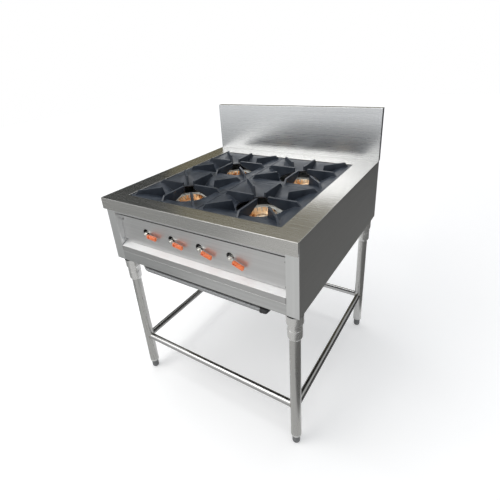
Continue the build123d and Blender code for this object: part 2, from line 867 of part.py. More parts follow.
# Brass head: ring of ports round a hub, with a spigot in the throat
def burner_head(x, y):
    floor = seat_z + head_floor
    inner = head_radius - head_rim_wall
    hub_top = head_top_z - head_hub_drop
    shape = revolved(x, y, [
        (0, seat_z), (head_radius, seat_z), (head_radius, head_top_z - head_edge),
        (head_radius - head_edge, head_top_z), (inner, head_top_z), (inner, floor),
        (head_hub_radius, floor), (head_hub_radius, hub_top - head_hub_cone), (0, hub_top)])
    shape += rod((x, y, seat_z - head_spigot), (x, y, seat_z), throat_radius - head_fit)
    shape -= rod((x, y, seat_z - head_spigot - overrun), (x, y, floor), throat_radius / 2)
    for i in range(port_count):
        port = block(inner - overrun, head_radius + overrun, -port_width / 2, port_width / 2,
                     head_top_z - port_depth, head_top_z + overrun)
        shape -= Pos(x, y, 0) * (Rot(0, 0, 360 / port_count * i) * port)
    return shape


def injector(x, y, side):
    mouth_y = y - venturi_length
    hex_y = mouth_y - injector_stand_off
    end_y = hex_y - injector_length
    shape = hexagon((x, hex_y, venturi_z), (x, end_y, venturi_z), injector_hex)
    tip_y = mouth_y + nozzle_reach
    shape += rod((x, hex_y, venturi_z), (x, tip_y, venturi_z), nozzle_radius)
    shape -= rod((x, (hex_y + end_y) / 2, venturi_z),
                 (x, tip_y - orifice_length, venturi_z), injector_bore)
    shape -= rod((x, hex_y, venturi_z), (x, tip_y, venturi_z), orifice_radius)
    port_y = (hex_y + end_y) / 2
    return shape - rod((x, port_y, venturi_z),
                       (x + side * injector_hex, port_y, venturi_z), injector_bore)


def air_shutter(x, y):
    face_y = y - venturi_length - fit_gap
    low = (x, face_y - shutter_thickness, venturi_z)
    shape = rod(low, (x, face_y, venturi_z), shutter_radius)
    shape += block(x - shutter_tab / 2, x + shutter_tab / 2, face_y - shutter_thickness,
                   face_y, venturi_z + shutter_radius - overrun,
                   venturi_z + shutter_radius + shutter_tab)
    shape -= rod(low, (x, face_y, venturi_z), nozzle_radius + fit_gap)
    return shape - air_slots((x, venturi_z), face_y - shutter_thickness, face_y)


# Gas tube from a valve's outlet nut to its burner's injector
def gas_tube(valve, x, y, side, lane):
    port_y = y - port_offset
    start_z = valve_z + valve_reach + outlet_length
    points = [(valve, valve_y, start_z), (valve, valve_y, swan_z)]
    if lane != valve:
        points += [(lane, valve_y, swan_z)]
    points += [(lane, drop_y, swan_z), (lane, drop_y, venturi_z)]
    if port_y > drop_y:
        points += [(lane, port_y, venturi_z)]
    points += [(x + side * injector_hex / 2, port_y, venturi_z)]
    return bent_tube(points, tube_bend, tube_radius, tube_wall)


def burner_rail(y):
    side_x = body_x - sheet
    low = rail_top_z - rail_depth
    shape = block(-side_x, side_x, y - rail_width / 2, y + rail_width / 2, low, rail_top_z)
    return shape - block(-side_x, side_x, y - rail_width / 2 + rail_wall,
                         y + rail_width / 2 - rail_wall, low - overrun,
                         rail_top_z - rail_wall)


# Casing
write("top_frame", top_frame())
write("grate_support_cross", grate_cross())
write("backsplash", backsplash())
write("back_panel", back_panel())
write("front_top_rail", front_rail())
write("control_panel", control_panel())
write("control_panel_screws", *[panel_screw(x, z) for x, z in screw_places()])
write("base_frame", base_frame())
write("drip_tray", drip_tray())
for side, word in ((-1, "left"), (1, "right")):
    write(f"side_panel_{word}", side_panel(side))
    write(f"front_post_{word}", front_post(side))
    write(f"tray_runner_{word}", tray_runner(side))

# Legs, feet and stretchers
corners = {
    "front_left": (-leg_x, leg_front_y),
    "front_right": (leg_x, leg_front_y),
    "rear_left": (-leg_x, leg_back_y),
    "rear_right": (leg_x, leg_back_y),
}
write("leg_sockets", *[leg_socket(*place) for place in corners.values()])
write("leg_inserts", *[foot_insert(*place) for place in corners.values()])
for word, place in corners.items():
    write(f"leg_{word}", leg(*place))
    write(f"foot_{word}", foot(*place))
ties = {
    "front": ("front_left", "front_right"),
    "rear": ("rear_left", "rear_right"),
    "left": ("front_left", "rear_left"),
    "right": ("front_right", "rear_right"),
}
for word, (start, end) in ties.items():
    write(f"stretcher_{word}", stretcher(corners[start], corners[end]))

# Gas supply and valves
write("supply_pipe_front", supply_pipe_front())
write("supply_pipe_rear", supply_pipe_rear())
write("pipe_fittings", supply_elbow(), pipe_union(), manifold_cap())
write("gas_inlet", gas_inlet())
write("pipe_hanger", pipe_hanger())
write("gas_manifold", gas_manifold())
write("valve_bodies", *[valve_body(x) for x in valve_x])
for number, (x, droop) in enumerate(zip(valve_x, lever_droops), start=1):
    write(f"valve_lever_{number}", valve_lever(x, droop))
    write(f"lever_grip_{number}", lever_grip(x, droop))

# Burners and grates
burners = {
    "front_left": (-burner_pitch, well_y - burner_pitch),
    "front_right": (burner_pitch, well_y - burner_pitch),
    "rear_left": (-burner_pitch, well_y + burner_pitch),
    "rear_right": (burner_pitch, well_y + burner_pitch),
}
# Each burner's valve, the side its gas tube comes from and the lane that tube runs in
feeds = {
    "rear_left": (valve_x[0], -1, valve_x[0]),
    "front_left": (valve_x[1], 1, valve_x[1]),
    "rear_right": (valve_x[2], -1, valve_x[2]),
    "front_right": (valve_x[3], 1, bypass_x),
}
for word, place in burners.items():
    write(f"burner_body_{word}", burner_body(*place))
    write(f"air_shutter_{word}", air_shutter(*place))
    write(f"grate_{word}", grate(*place))
write("burner_heads", *[burner_head(*place) for place in burners.values()])
write("injectors", *[injector(*burners[word], feeds[word][1]) for word in burners])
write("gas_tubes", *[gas_tube(valve, *burners[word], side, lane)
                     for word, (valve, side, lane) in feeds.items()])
rail_rows = [y + side * rail_offset for y in (well_y - burner_pitch, well_y + burner_pitch)
             for side in (-1, 1)]
write("burner_rails", *[burner_rail(y) for y in rail_rows])
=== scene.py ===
import json
import math

import bpy
from mathutils import Matrix, Vector

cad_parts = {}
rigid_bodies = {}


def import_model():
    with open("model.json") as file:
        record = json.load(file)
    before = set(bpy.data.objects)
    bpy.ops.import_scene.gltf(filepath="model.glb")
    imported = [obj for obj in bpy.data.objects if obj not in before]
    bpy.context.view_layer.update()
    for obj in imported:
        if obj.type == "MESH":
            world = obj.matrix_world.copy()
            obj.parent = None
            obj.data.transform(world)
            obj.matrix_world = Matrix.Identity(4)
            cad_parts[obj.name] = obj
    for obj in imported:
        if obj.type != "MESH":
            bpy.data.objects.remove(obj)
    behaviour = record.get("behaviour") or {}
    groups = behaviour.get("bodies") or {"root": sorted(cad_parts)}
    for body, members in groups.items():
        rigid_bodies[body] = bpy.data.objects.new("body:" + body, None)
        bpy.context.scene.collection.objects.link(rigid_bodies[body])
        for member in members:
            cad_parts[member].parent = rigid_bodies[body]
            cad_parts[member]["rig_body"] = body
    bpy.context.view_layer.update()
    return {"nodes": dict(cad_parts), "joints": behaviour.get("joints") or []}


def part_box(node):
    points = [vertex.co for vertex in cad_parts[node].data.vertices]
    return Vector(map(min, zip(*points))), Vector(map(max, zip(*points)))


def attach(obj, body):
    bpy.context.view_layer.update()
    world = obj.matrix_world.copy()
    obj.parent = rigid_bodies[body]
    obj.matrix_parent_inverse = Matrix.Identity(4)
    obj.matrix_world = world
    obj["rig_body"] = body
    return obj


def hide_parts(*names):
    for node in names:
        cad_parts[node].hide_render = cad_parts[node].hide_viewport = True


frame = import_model()
nodes = frame["nodes"]
mm = 0.001
corners = ["front_left", "front_right", "rear_left", "rear_right"]
finishes = {}  # finish name -> material, filled as each one is made


# Stage: camera, floor, backdrop and lamps
photoCamera = {
    "place": (0.7584, -1.1546, 1.3301),
    "yaw": 34.85,
    "pitch": -24.37,
    "roll": -4.37,
    "focalPixels": 366.5,
    "centrePixels": (242.46, 214.93),
    "framePixels": 500,
    "sensor": 36.0,
    "farClip": 60,
}


def addCamera(view):
    data = bpy.data.cameras.new("photoCamera")
    camera = bpy.data.objects.new("photoCamera", data)
    bpy.context.scene.collection.objects.link(camera)
    yaw = math.radians(view["yaw"])
    pitch = math.radians(view["pitch"])
    roll = math.radians(view["roll"])
    turn = (Matrix.Rotation(yaw, 4, "Z") @ Matrix.Rotation(math.pi / 2 + pitch, 4, "X")
            @ Matrix.Rotation(roll, 4, "Z"))
    camera.matrix_world = Matrix.Translation(view["place"]) @ turn
    size = view["framePixels"]
    data.sensor_width = view["sensor"]
    data.lens = view["focalPixels"] * view["sensor"] / size
    data.shift_x = (size / 2 - view["centrePixels"][0]) / size
    data.shift_y = (view["centrePixels"][1] - size / 2) / size
    data.clip_end = view["farClip"]
    bpy.context.scene.camera = camera


def lightPathSwitch(tree):
    # 1 for rays from the camera and for mirror-like ones, 0 for those that light the object
    path = tree.nodes.new("ShaderNodeLightPath")
    seen = path.outputs["Is Camera Ray"]
    for kind in ("Is Transmission Ray", "Is Glossy Ray"):
        either = tree.nodes.new("ShaderNodeMath")
        either.operation = "MAXIMUM"
        tree.links.new(seen, either.inputs[0])
        tree.links.new(path.outputs[kind], either.inputs[1])
        seen = either.outputs[0]
    return seen


studio = {
    "floorHalf": 9.0,
    "floorColour": (0.8, 0.8, 0.8, 1),
    "floorRough": 0.85,
    "floorGlow": (0.34, 0.66),  # near the object and far off, for the camera and mirrors only
    "glowReach": (1.2, 5.0),
    "worldColour": (0.95, 0.97, 1.0, 1),
    "worldStrength": 0.5,
    "backdropStrength": 1.0,
}


def addStudio(s):
    bpy.ops.mesh.primitive_plane_add(size=2 * s["floorHalf"], location=(0, 0, 0))
    floor = bpy.context.object
    floor.name = "studioFloor"
    material = bpy.data.materials.new("floorPaint")
    material.use_nodes = True
    tree = material.node_tree
    shader = tree.nodes["Principled BSDF"]
    shader.inputs["Base Color"].default_value = s["floorColour"]
    shader.inputs["Roughness"].default_value = s["floorRough"]
    shader.inputs["Emission Color"].default_value = (1, 1, 1, 1)
    place = tree.nodes.new("ShaderNodeTexCoord")
    reach = tree.nodes.new("ShaderNodeVectorMath")
    reach.operation = "LENGTH"
    tree.links.new(place.outputs["Object"], reach.inputs[0])
    glow = tree.nodes.new("ShaderNodeMapRange")
    glow.inputs["From Min"].default_value, glow.inputs["From Max"].default_value = s["glowReach"]
    glow.inputs["To Min"].default_value, glow.inputs["To Max"].default_value = s["floorGlow"]
    tree.links.new(reach.outputs["Value"], glow.inputs["Value"])
    strength = tree.nodes.new("ShaderNodeMath")
    strength.operation = "MULTIPLY"
    tree.links.new(glow.outputs["Result"], strength.inputs[0])
    tree.links.new(lightPathSwitch(tree), strength.inputs[1])
    tree.links.new(strength.outputs[0], shader.inputs["Emission Strength"])
    floor.data.materials.append(material)

    world = bpy.data.worlds.new("studioWorld")
    bpy.context.scene.world = world
    world.use_nodes = True
    tree = world.node_tree
    tree.nodes.clear()
    output = tree.nodes.new("ShaderNodeOutputWorld")
    mix = tree.nodes.new("ShaderNodeMixShader")
    light = tree.nodes.new("ShaderNodeBackground")
    light.inputs["Color"].default_value = s["worldColour"]
    light.inputs["Strength"].default_value = s["worldStrength"]
    seen = tree.nodes.new("ShaderNodeBackground")
    seen.inputs["Color"].default_value = (1, 1, 1, 1)
    seen.inputs["Strength"].default_value = s["backdropStrength"]
    tree.links.new(lightPathSwitch(tree), mix.inputs[0])
    tree.links.new(light.outputs[0], mix.inputs[1])
    tree.links.new(seen.outputs[0], mix.inputs[2])
    tree.links.new(mix.outputs[0], output.inputs["Surface"])


lamps = [
    {"name": "keyLamp", "place": (-1.5, -2.3, 3.0), "size": 2.2, "power": 48,
     "colour": (1, 0.98, 0.95)},
    {"name": "topLamp", "place": (-0.5, 0.1, 3.4), "size": 2.2, "power": 44,
     "colour": (1, 1, 1)},
    {"name": "fillLamp", "place": (2.6, -1.6, 1.5), "size": 1.6, "power": 9,
     "colour": (0.9, 0.95, 1)},
]
lampAim = (0, 0, 0.7)


def addLamp(lamp):
    data = bpy.data.lights.new(lamp["name"], "AREA")
    data.shape = "SQUARE"
    data.size = lamp["size"]
    data.energy = lamp["power"]
    data.color = lamp["colour"]
    holder = bpy.data.objects.new(lamp["name"], data)
    bpy.context.scene.collection.objects.link(holder)
    holder.location = lamp["place"]
    aim = Vector(lampAim) - Vector(lamp["place"])
    holder.rotation_euler = aim.to_track_quat("-Z", "Y").to_euler()


# Cards out of the camera's sight, which only the polished metal reflects
reflectedCards = {
    "warmCard": {"place": (-1.9, 2.33, 2.3), "size": (4.3, 2.4), "turn": (90, 0, 42),
                 "glow": (0.16, 0.142, 0.08, 1)},
    "cornerCard": {"place": (-3.0, 1.04, 1.9), "size": (2.1, 2.2), "turn": (90, 0, 42),
                   "glow": (0.02, 0.024, 0.024, 1)},
    "backCard": {"place": (-1.7, 2.4, 0.52), "size": (7.0, 1.0), "turn": (90, 0, 35),
                 "glow": (0.03, 0.03, 0.032, 1)},
    "rightCard": {"place": (2.3, 2.5, 0.8), "size": (4.6, 1.6), "turn": (90, 0, -42),
                  "glow": (0.05, 0.05, 0.052, 1)},
    "underCard": {"place": (0, 0, 0.59), "size": (0.79, 0.79), "turn": (180, 0, 0),
                  "glow": (0.02, 0.02, 0.02, 1)},
    "ledgeCard": {"place": (-2.4, -0.7, 2.6), "size": (2.2, 2.0), "turn": (0, 50, 0),
                  "glow": (2.6, 2.66, 2.68, 1)},
    "darkCard": {"place": (1.95, 1.4, 0.012), "size": (2.9, 4.4), "turn": (0, 0, 0),
                 "glow": (0.18, 0.18, 0.176, 1)},
    "frontCard": {"place": (1.4, -2.4, 0.01), "size": (4.2, 4.2), "turn": (0, 0, 0),
                  "glow": (0.62, 0.62, 0.61, 1)},
    "frontLeftCard": {"place": (-2.7, -2.4, 0.01), "size": (4.0, 4.2), "turn": (0, 0, 0),
                      "glow": (0.36, 0.365, 0.36, 1)},
}


def addReflectedCard(name, c):
    bpy.ops.mesh.primitive_plane_add(size=1, location=(0, 0, 0))
    card = bpy.context.object
    card.name = name
    card.scale = (*c["size"], 1)
    card.rotation_euler = [math.radians(angle) for angle in c["turn"]]
    card.location = c["place"]
    material = bpy.data.materials.new(name + "Glow")
    material.use_nodes = True
    shader = material.node_tree.nodes["Principled BSDF"]
    shader.inputs["Base Color"].default_value = (0, 0, 0, 1)
    shader.inputs["Specular IOR Level"].default_value = 0
    shader.inputs["Emission Color"].default_value = c["glow"]
    shader.inputs["Emission Strength"].default_value = 1
    card.data.materials.append(material)
    card.visible_camera = False
    card.visible_shadow = False
    card.visible_diffuse = False


addCamera(photoCamera)
addStudio(studio)
for lamp in lamps:
    addLamp(lamp)
for name, card in reflectedCards.items():
    addReflectedCard(name, card)
bpy.context.scene.view_settings.view_transform = "Standard"
print("stage: camera, floor, lamps and cards are in place")


# Finishes
def startFinish(name):
    material = bpy.data.materials.new(name)
    material.use_nodes = True
    tree = material.node_tree
    shader = tree.nodes["Principled BSDF"]
    place = tree.nodes.new("ShaderNodeTexCoord")
    finishes[name] = material
    return tree, shader, place.outputs["Object"]


def stretched(tree, place, scale):
    mapping = tree.nodes.new("ShaderNodeMapping")
    mapping.inputs["Scale"].default_value = scale
    tree.links.new(place, mapping.inputs["Vector"])
    return mapping.outputs["Vector"]


def noise(tree, place, scale, detail=4.0, roughness=0.55):
    node = tree.nodes.new("ShaderNodeTexNoise")
    node.inputs["Scale"].default_value = scale
    node.inputs["Detail"].default_value = detail
    node.inputs["Roughness"].default_value = roughness
    tree.links.new(place, node.inputs["Vector"])
    return node.outputs["Fac"]


def ramp(tree, value, stops):
    node = tree.nodes.new("ShaderNodeValToRGB")
    elements = node.color_ramp.elements
    elements[0].position, elements[0].color = stops[0]
    elements[1].position, elements[1].color = stops[-1]
    for position, colour in stops[1:-1]:
        elements.new(position).color = colour
    tree.links.new(value, node.inputs["Fac"])
    return node.outputs["Color"]


def remap(tree, value, low, high, fromLow=0.3, fromHigh=0.7):
    # nearly all of a noise's values lie between 0.3 and 0.7
    node = tree.nodes.new("ShaderNodeMapRange")
    node.inputs["From Min"].default_value = fromLow
    node.inputs["From Max"].default_value = fromHigh
    node.inputs["To Min"].default_value = low
    node.inputs["To Max"].default_value = high
    tree.links.new(value, node.inputs["Value"])
    return node.outputs["Result"]


def bump(tree, shader, height, strength, distance):
    node = tree.nodes.new("ShaderNodeBump")
    node.inputs["Strength"].default_value = strength
    node.inputs["Distance"].default_value = distance
    tree.links.new(height, node.inputs["Height"])
    tree.links.new(node.outputs["Normal"], shader.inputs["Normal"])


def grey(value, tint=(1, 1, 1)):
    return (value * tint[0], value * tint[1], value * tint[2], 1)


# Brushed sheet and tube: fine scratches along the grain over wider, faint streaks
brush = {"lineDetail": 3.0, "lineDepth": 0.0003, "streakDetail": 2.0, "streakWidth": 5,
         "roughSpread": (0.9, 1.12)}
brushedFinishes = {
    "rimSteel": {"tone": 0.60, "tint": (1, 0.99, 0.96), "rough": 0.25,
                 "grain": (6, 900, 900), "streak": 0.02, "relief": 0.014},
    "panelSteel": {"tone": 0.62, "tint": (1, 1, 1), "rough": 0.4,
                   "grain": (6, 900, 900), "streak": 0.05, "relief": 0.03},
    "postSteel": {"tone": 0.72, "tint": (0.99, 1, 1), "rough": 0.36,
                  "grain": (900, 900, 6), "streak": 0.04, "relief": 0.03},
    # base frame: a slightly darker copy of the stainless, painted shade for the darker reflection
    # on its lower band; its wider streaks are the steel's own
    "frameShadedSteel": {"tone": 0.58, "tint": (0.99, 1, 1), "rough": 0.36,
                   "grain": (6, 900, 900), "streak": 0.07, "relief": 0.03},
    # side panels: a darker copy of the same stainless, painted shade for the dark that the sides
    # reflect
    "sideShadedSteel": {"tone": 0.40, "tint": (1, 1, 0.99), "rough": 0.36,
                  "grain": (900, 6, 900), "streak": 0.03, "relief": 0.02},
    "splashSteel": {"tone": 0.66, "tint": (0.98, 1, 1.02), "rough": 0.27,
                    "grain": (4, 900, 900), "streak": 0.025, "relief": 0.014},
    "socketSteel": {"tone": 0.72, "tint": (1, 1, 0.99), "rough": 0.26,
                    "grain": (150, 150, 8), "streak": 0.03, "relief": 0.0},
    "tubeSteel": {"tone": 0.52, "tint": (1, 1, 0.98), "rough": 0.28,
                  "grain": (150, 150, 6), "streak": 0.03, "relief": 0.0},
    "railSteel": {"tone": 0.46, "tint": (1, 1, 1), "rough": 0.22,
                  "grain": (6, 150, 150), "streak": 0.03, "relief": 0.0},
    # side stretchers: a darker copy of the stretcher steel, painted shade for the dark they
    # reflect
    "sideRailShadedSteel": {"tone": 0.3, "tint": (1, 1, 0.98), "rough": 0.22,
                      "grain": (150, 6, 150), "streak": 0.03, "relief": 0.0},
    "nickel": {"tone": 0.76, "tint": (1, 0.99, 0.95), "rough": 0.2,
               "grain": (300, 300, 300), "streak": 0.05, "relief": 0.03},
    "screwSteel": {"tone": 0.30, "tint": (1, 1, 1), "rough": 0.35,
                   "grain": (300, 300, 300), "streak": 0.05, "relief": 0.03},
    "tubeAluminium": {"tone": 0.72, "tint": (1, 1, 1), "rough": 0.3,
                      "grain": (200, 200, 200), "streak": 0.05, "relief": 0.03},
}


def makeBrushed(name, f):
    tree, shader, place = startFinish(name)
    lines = noise(tree, stretched(tree, place, f["grain"]), 1.0, brush["lineDetail"])
    wide = [along / brush["streakWidth"] for along in f["grain"]]
    streaks = noise(tree, stretched(tree, place, wide), 1.0, brush["streakDetail"])
    tone, streak = f["tone"], f["streak"]
    colour = ramp(tree, streaks, [(0.3, grey(tone * (1 - streak), f["tint"])),
                                  (0.5, grey(tone, f["tint"])),
                                  (0.7, grey(tone * (1 + streak), f["tint"]))])
    tree.links.new(colour, shader.inputs["Base Color"])
    least, most = brush["roughSpread"]
    tree.links.new(remap(tree, lines, f["rough"] * least, f["rough"] * most),
                   shader.inputs["Roughness"])
    shader.inputs["Metallic"].default_value = 1.0
    if f["relief"]:
        bump(tree, shader, lines, f["relief"], brush["lineDepth"])


for finishName, settings in brushedFinishes.items():
    makeBrushed(finishName, settings)


# Drip tray: painted highlight and painted shade. The ledge over the fold is bright, matt and only
# slightly metallic, a painted highlight in place of a bright reflection, and the lip under it is
# darker, painted shade
trayFinish = {"lipShadeTone": 0.5, "ledgeHighlightTone": 0.9, "lipMetal": 1.0, "ledgeMetal": 0.3,
              "foldHeight": (0.6662, 0.6678), "rough": 0.42, "roughSpread": (0.88, 1.15),
              "grain": (6, 900, 900), "relief": 0.03}


def makeTraySteel(f):
    tree, shader, place = startFinish("trayHighlightSteel")
    split = tree.nodes.new("ShaderNodeSeparateXYZ")
    tree.links.new(place, split.inputs["Vector"])
    low, high = f["foldHeight"]
    # 1 on the ledge and 0 on the lip: the mask of the ledge's painted highlight and the lip's
    #                                  painted shade
    ledgeHighlightMask = remap(tree, split.outputs["Z"], 0.0, 1.0, low, high)
    lines = noise(tree, stretched(tree, place, f["grain"]), 1.0, brush["lineDetail"])
    tree.links.new(ramp(tree, ledgeHighlightMask, [(0.0, grey(f["lipShadeTone"])), (1.0, grey(f["ledgeHighlightTone"]))]),
                   shader.inputs["Base Color"])
    tree.links.new(remap(tree, ledgeHighlightMask, f["lipMetal"], f["ledgeMetal"], 0.0, 1.0),
                   shader.inputs["Metallic"])
    least, most = f["roughSpread"]
    tree.links.new(remap(tree, lines, f["rough"] * least, f["rough"] * most),
                   shader.inputs["Roughness"])
    bump(tree, shader, lines, f["relief"], brush["lineDepth"])


# Mottled finishes: dark blue-grey enamel on the cast grates, paint on the burners, brass
# mottled at random from dark orange-brown to pale cream, and dipped grips. Pattern and pits are a
# noise's scale and detail
mottledFinishes = {
    "grateEnamel": {"pattern": (22.0, 6.0), "metal": 0.0, "rough": (0.32, 0.55),
                    "colours": [(0.3, (0.012, 0.017, 0.026, 1)), (0.55, (0.019, 0.026, 0.038, 1)),
                                (0.75, (0.032, 0.041, 0.054, 1))],
                    "pits": (420.0, 3.0), "relief": 0.25, "depth": 0.0008},
    "burnerPaint": {"pattern": (30.0, 6.0), "metal": 0.35, "rough": (0.35, 0.6),
                    "colours": [(0.3, (0.2, 0.2, 0.19, 1)), (0.5, (0.42, 0.43, 0.41, 1)),
                                (0.75, (0.52, 0.53, 0.5, 1))],
                    "pits": (300.0, 3.0), "relief": 0.3, "depth": 0.001},
    "castBrass": {"pattern": (28.0, 2.0), "metal": 1.0, "rough": (0.22, 0.4),
                  "colours": [(0.34, (0.5, 0.27, 0.12, 1)), (0.46, (0.88, 0.66, 0.45, 1)),
                              (0.6, (0.98, 0.88, 0.74, 1))],
                  "pits": (500.0, 2.0), "relief": 0.15, "depth": 0.0006},
    "gripVinyl": {"pattern": (90.0, 4.0), "metal": 0.0, "rough": (0.3, 0.45), "coat": (0.3, 0.25),
                  "colours": [(0.3, (0.84, 0.15, 0.035, 1)), (0.7, (0.96, 0.23, 0.06, 1))],
                  "pits": (700.0, 2.0), "relief": 0.15, "depth": 0.0004},
}


def makeMottled(name, f):
    tree, shader, place = startFinish(name)
    mottle = noise(tree, place, *f["pattern"])
    tree.links.new(ramp(tree, mottle, f["colours"]), shader.inputs["Base Color"])
    tree.links.new(remap(tree, mottle, *f["rough"]), shader.inputs["Roughness"])
    shader.inputs["Metallic"].default_value = f["metal"]
    if "coat" in f:
        shader.inputs["Coat Weight"].default_value = f["coat"][0]
        shader.inputs["Coat Roughness"].default_value = f["coat"][1]
    bump(tree, shader, noise(tree, place, *f["pits"]), f["relief"], f["depth"])


# Plain painted or moulded finishes with a slight grain
paintFinishes = {
    "pipePaint": {"dark": (0.3, 0.305, 0.31, 1), "light": (0.44, 0.445, 0.45, 1),
                  "metal": 0.6, "rough": (0.25, 0.4), "grain": 180.0},
    "fittingIron": {"dark": (0.03, 0.03, 0.032, 1), "light": (0.075, 0.075, 0.078, 1),
                    "metal": 0.5, "rough": (0.4, 0.6), "grain": 260.0},
    "footPlastic": {"dark": (0.12, 0.122, 0.125, 1), "light": (0.2, 0.202, 0.205, 1),
                    "metal": 0.0, "rough": (0.35, 0.5), "grain": 300.0},
    "collarPlastic": {"dark": (0.55, 0.55, 0.53, 1), "light": (0.7, 0.7, 0.68, 1),
                      "metal": 0.0, "rough": (0.35, 0.5), "grain": 200.0},
    "galvanised": {"dark": (0.3, 0.31, 0.32, 1), "light": (0.47, 0.48, 0.49, 1),
                   "metal": 0.9, "rough": (0.35, 0.5), "grain": 45.0},
    "weldMetal": {"dark": (0.25, 0.24, 0.22, 1), "light": (0.5, 0.48, 0.44, 1),
                  "metal": 0.9, "rough": (0.3, 0.5), "grain": 240.0},
}


def makePaint(name, f):
    pattern = (f["grain"], 4.0)
    makeMottled(name, {"pattern": pattern, "metal": f["metal"], "rough": f["rough"],
                       "colours": [(0.3, f["dark"]), (0.7, f["light"])],
                       "pits": pattern, "relief": 0.12, "depth": 0.0005})


makeTraySteel(trayFinish)
for finishName, settings in mottledFinishes.items():
    makeMottled(finishName, settings)
for finishName, settings in paintFinishes.items():
    makePaint(finishName, settings)
print("stage: finishes are made")


# Small helpers for modelling
def selectOnly(piece):
    bpy.ops.object.select_all(action="DESELECT")
    piece.select_set(True)
    bpy.context.view_layer.objects.active = piece


def settle(piece):
    # the finished object's place goes into its mesh
    selectOnly(piece)
    bpy.ops.object.transform_apply(location=True, rotation=True, scale=True)


def pickFaces(piece, test):
    # in edit mode: selects the faces whose centre and normal pass the test
    bpy.ops.mesh.select_mode(type="FACE")
    bpy.ops.mesh.select_all(action="DESELECT")
    bpy.ops.object.mode_set(mode="OBJECT")
    for face in piece.data.polygons:
        face.select = test(face.center, face.normal)
    bpy.ops.object.mode_set(mode="EDIT")


def pickEdges(piece, test):
    # in edit mode: selects the edges whose two ends pass the test
    bpy.ops.mesh.select_mode(type="EDGE")
    bpy.ops.mesh.select_all(action="DESELECT")
    bpy.ops.object.mode_set(mode="OBJECT")
    points = piece.data.vertices
    for edge in piece.data.edges:
        edge.select = test(points[edge.vertices[0]].co, points[edge.vertices[1]].co)
    bpy.ops.object.mode_set(mode="EDIT")


def bevelEdges(piece, width, sharpFrom, smoothTo):
    # rounds the edges that are sharper than one angle, then shades smooth up to the other
    selectOnly(piece)
    if width:
        modifier = piece.modifiers.new("edges", "BEVEL")
        modifier.limit_method = "ANGLE"
        modifier.angle_limit = math.radians(sharpFrom)
        modifier.width = width
        modifier.segments = 2
        modifier.use_clamp_overlap = True
        bpy.ops.object.modifier_apply(modifier="edges")
    bpy.ops.object.shade_smooth_by_angle(angle=math.radians(smoothTo))
    flat = piece.modifiers.new("flatFaces", "WEIGHTED_NORMAL")
    flat.keep_sharp = True
    flat.weight = 100
    bpy.ops.object.modifier_apply(modifier="flatFaces")


def wear(piece, finishName, nodeNames, body):
    piece.data.materials.clear()
    piece.data.materials.append(finishes[finishName])
    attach(piece, body)
    if nodeNames:
        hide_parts(*nodeNames)


def joined(pieces, name):
    bpy.ops.object.select_all(action="DESELECT")
    for piece in pieces:
        piece.select_set(True)
    bpy.context.view_layer.objects.active = pieces[0]
    if len(pieces) > 1:
        bpy.ops.object.join()
    pieces[0].name = name
    return pieces[0]


# These pieces keep the frame's own shape and get rounded edges: finish, edge in mm, nodes
roundedPieces = [
    ("rimSteel", 1.2, ["top_frame"]),
    ("splashSteel", 0.9, ["backsplash"]),
    ("postSteel", 0.8, ["front_post_left", "front_post_right"]),
    ("panelSteel", 0.5, ["front_top_rail", "back_panel"]),
    ("panelSteel", 0, ["control_panel"]),  # left sharp: bevels round its small holes would overlap
    # the base frame wears the painted shade copy of the stainless
    ("frameShadedSteel", 0.5, ["base_frame"]),
    # the side panels wear the painted shade copy of the stainless
    ("sideShadedSteel", 0.4, ["side_panel_left", "side_panel_right"]),
    # the drip tray wears the painted highlight on its ledge and painted shade on its lip
    ("trayHighlightSteel", 0.6, ["drip_tray"]),
    ("socketSteel", 0.8, ["leg_sockets"]),
    ("tubeSteel", 0.3, ["leg_" + c for c in corners]),
    ("railSteel", 0.2, ["stretcher_front", "stretcher_rear"]),
    # the side stretchers wear the painted shade copy of the stretcher steel
    ("sideRailShadedSteel", 0.2, ["stretcher_left", "stretcher_right"]),
    ("nickel", 0.4, ["valve_bodies"] + ["valve_lever_%d" % n for n in range(1, 5)]),
    ("screwSteel", 0.3, ["control_panel_screws"]),
    ("nickel", 0.3, ["air_shutter_" + c for c in corners]),
    ("collarPlastic", 0.8, ["leg_inserts"]),
    ("footPlastic", 0.5, ["foot_" + c for c in corners]),
    ("galvanised", 0.4, ["tray_runner_left", "tray_runner_right", "grate_support_cross",
                         "burner_rails", "pipe_hanger"]),
    ("grateEnamel", 1.1, ["grate_" + c for c in corners]),
    ("burnerPaint", 1.0, ["burner_body_" + c for c in corners]),
    ("castBrass", 1.0, ["burner_heads"]),
    ("castBrass", 0.4, ["injectors"]),
    ("pipePaint", 0.3, ["supply_pipe_front", "supply_pipe_rear", "gas_manifold"]),
    ("fittingIron", 0.8, ["pipe_fittings", "gas_inlet"]),
    ("tubeAluminium", 0.2, ["gas_tubes"]),
]
rounding = {"weldWithin": 0.000002, "flatWithin": 0.5, "sharpFrom": 32, "smoothTo": 34}


def roundNode(name, finishName, edge):
    source = nodes[name]
    piece = source.copy()
    piece.data = source.data.copy()
    piece.name = name + ".finished"
    for key in list(piece.keys()):
        del piece[key]
    bpy.context.scene.collection.objects.link(piece)
    piece.parent = None
    selectOnly(piece)
    bpy.ops.object.mode_set(mode="EDIT")
    bpy.ops.mesh.select_all(action="SELECT")
    bpy.ops.mesh.remove_doubles(threshold=rounding["weldWithin"])
    bpy.ops.mesh.dissolve_limited(angle_limit=math.radians(rounding["flatWithin"]))
    bpy.ops.mesh.vert_connect_concave()
    bpy.ops.object.mode_set(mode="OBJECT")
    bevelEdges(piece, edge, rounding["sharpFrom"], rounding["smoothTo"])
    wear(piece, finishName, [name], source["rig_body"])


for finishName, edge, names in roundedPieces:
    for name in names:
        roundNode(name, finishName, edge * mm)
print("stage: sheet, cast and tube pieces have their rounded edges")


